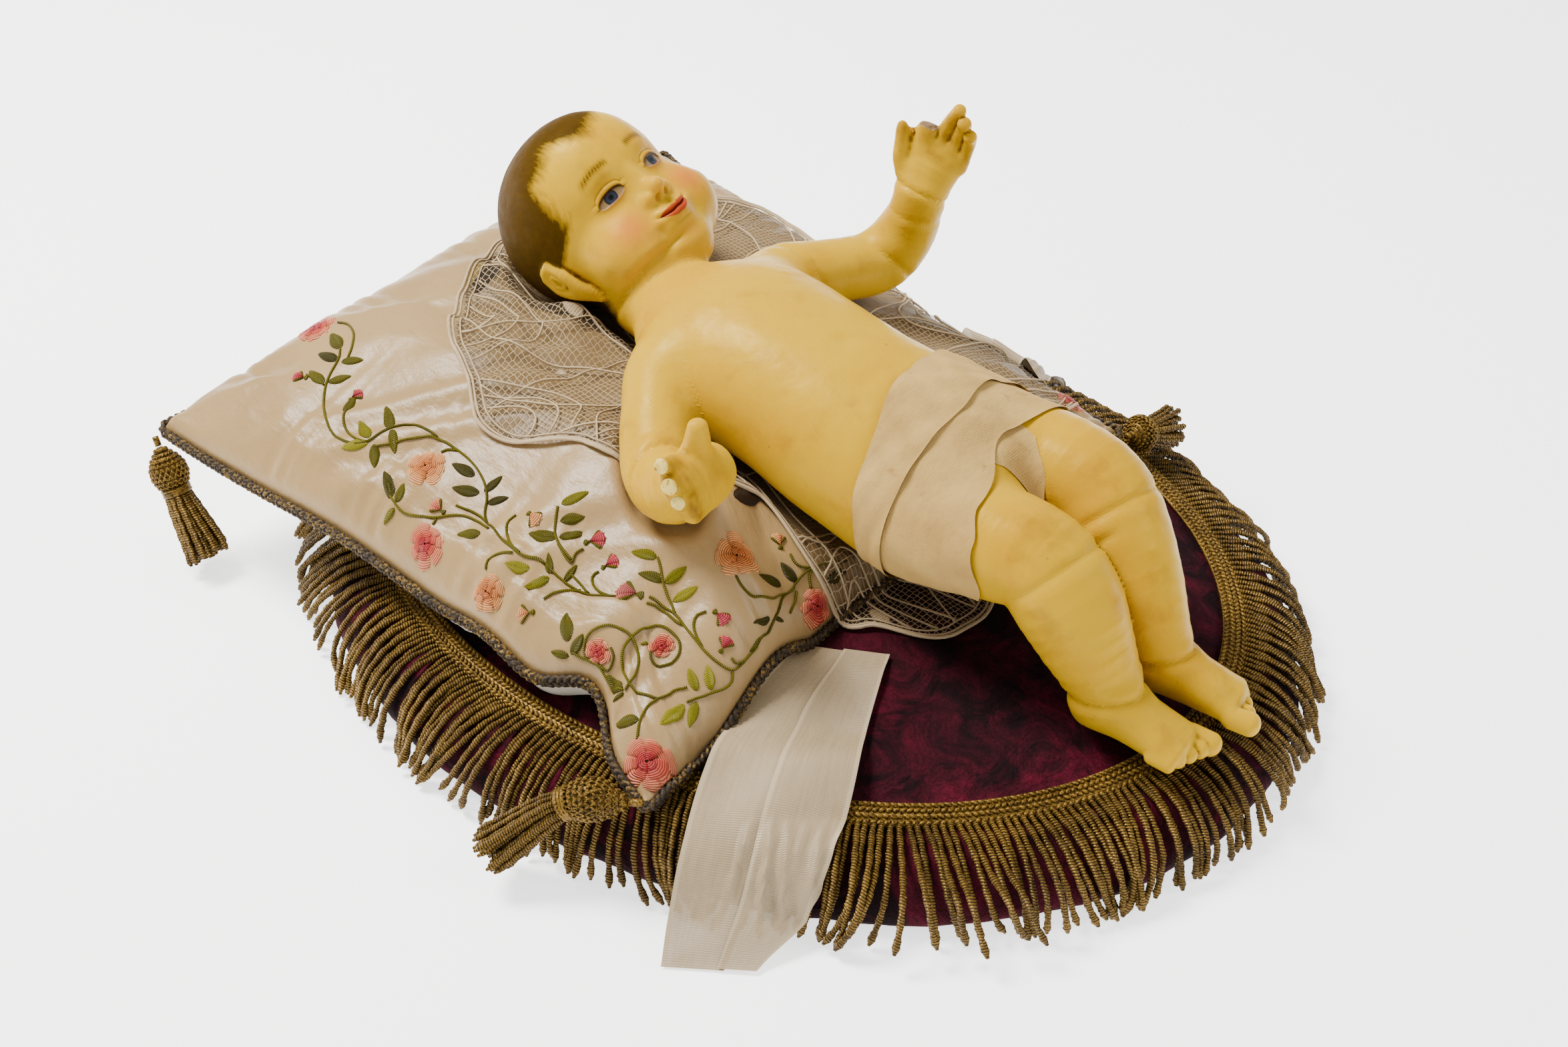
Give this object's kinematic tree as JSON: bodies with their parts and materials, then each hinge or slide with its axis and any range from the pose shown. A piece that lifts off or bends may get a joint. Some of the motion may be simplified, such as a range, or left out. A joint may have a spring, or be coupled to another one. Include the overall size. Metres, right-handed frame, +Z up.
{
  "type": "wax infant figure on cushions",
  "caption": "Wax infant lying on an embroidered silk pillow and an oval velvet cushion with a metal thread fringe, lace and ribbon.",
  "frame": {"origin": "on the flat underside, at the middle of the oval cushion's fringe line", "axes": "+Z up, +X towards the figure's feet, -Y towards the figure's right hand"},
  "size_m": [0.4839, 0.4066, 0.1905],
  "materials": {
    "wax": "satin, slightly translucent wax with painted hair and face",
    "linen": "fine washed linen with stains",
    "silk": "silk satin with coloured embroidery",
    "seam_cord": "dark braided cord with tarnished metal thread",
    "bullion": "dull twisted metal thread",
    "velvet": "crushed velvet",
    "net": "cotton net lace",
    "ribbon": "silk ribbon with a soft sheen"
  },
  "bodies": {
    "root": {"velvet_cushion": "velvet", "fringe_heading": "bullion", "bullion_fringe": "bullion", "silk_pillow": "silk", "pillow_cord": "seam_cord", "tassel_left": "bullion", "tassel_near": "bullion", "tassel_right": "bullion", "tassel_far": "bullion", "lace_cover": "net", "ribbon_front": "ribbon", "ribbon_back": "ribbon", "loincloth": "linen", "wax_figure": "wax"}
  },
  "joints": []
}
